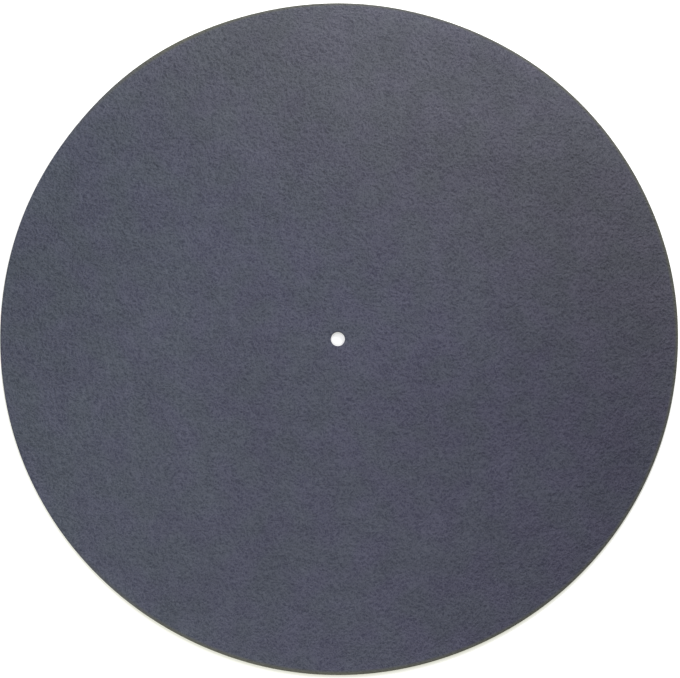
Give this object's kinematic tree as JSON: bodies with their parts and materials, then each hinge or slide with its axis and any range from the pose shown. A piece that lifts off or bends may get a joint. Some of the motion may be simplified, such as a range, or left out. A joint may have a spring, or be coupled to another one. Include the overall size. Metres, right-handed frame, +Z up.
{
  "type": "turntable platter mat",
  "caption": "Thin round pressed-felt mat with a small centre hole, laid on a record player's platter under the record.",
  "frame": {"origin": "on the axis of the spindle hole, at the level of the underside, where the mat lies on the platter", "axes": "+Z up along the spindle hole's axis, out of the face that carries the record; X and Y lie in the mat, which is round"},
  "size_m": [0.3, 0.3, 0.002],
  "materials": {
    "felt": "matte slate blue-grey pressed felt, fine randomly laid fibres"
  },
  "bodies": {
    "root": {"felt_mat": "felt"}
  },
  "joints": []
}
